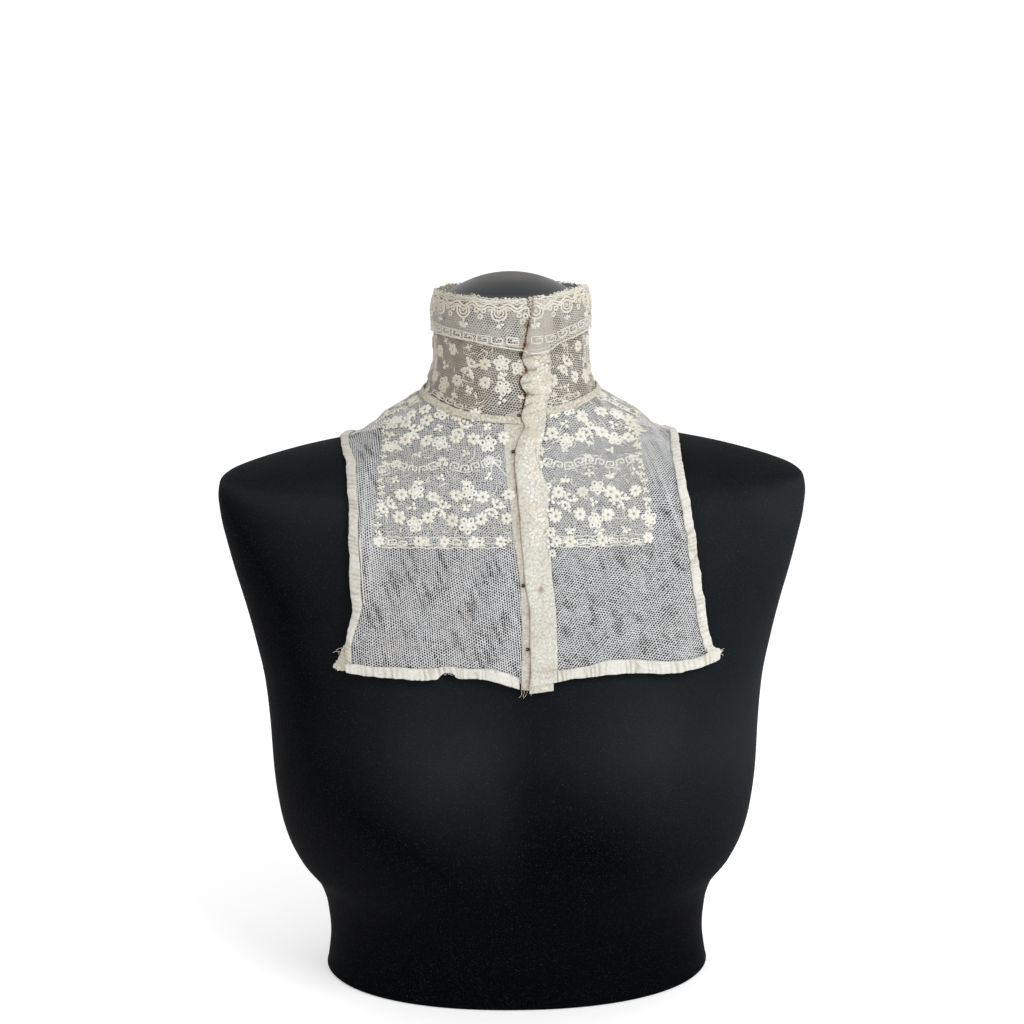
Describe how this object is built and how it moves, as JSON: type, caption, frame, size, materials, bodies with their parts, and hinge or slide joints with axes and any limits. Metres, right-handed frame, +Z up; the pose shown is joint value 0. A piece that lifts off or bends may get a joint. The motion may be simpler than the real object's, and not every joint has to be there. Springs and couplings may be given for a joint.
{
  "type": "tulle plastron on a dress form",
  "caption": "Tulle and lace false front with a high standing collar, open sides and a hooked overlapping centre placket, worn by a black limbless bust-length dress form.",
  "frame": {"origin": "middle of the dress form's flat base", "axes": "+Z up, the garment's front faces -Y, +X to the viewer's right"},
  "size_m": [0.3942, 0.2354, 0.483],
  "materials": {
    "tulle": "fine ivory hexagonal net, soft and matte",
    "lace": "ivory net with raised embroidered flowers, key border and scrolls",
    "tape": "ivory cotton tape, plain weave, ruched",
    "jersey": "near-black fine knit jersey with a faint sheen",
    "neck_cap": "dark grey moulded plastic, satin",
    "hook": "dark lacquered wire, worn"
  },
  "bodies": {
    "root": {"form_torso": "jersey", "form_neck_cap": "neck_cap", "front_panel_left": "tulle", "front_panel_right": "tulle", "back_panel": "tulle", "lace_yoke_front_left": "lace", "lace_yoke_front_right": "lace", "lace_yoke_back": "lace", "collar_stand": "lace", "collar_top_band": "lace", "neck_tape": "tape", "placket_overlap": "tape", "placket_underlap": "tape", "shoulder_tape_left": "tape", "shoulder_tape_right": "tape", "side_binding_left": "tape", "side_binding_right": "tape", "hem_binding_front_left": "tape", "hem_binding_front_right": "tape", "hem_binding_back": "tape", "hook_1": "hook", "hook_2": "hook", "hook_3": "hook", "hook_4": "hook", "hook_5": "hook"}
  },
  "joints": []
}
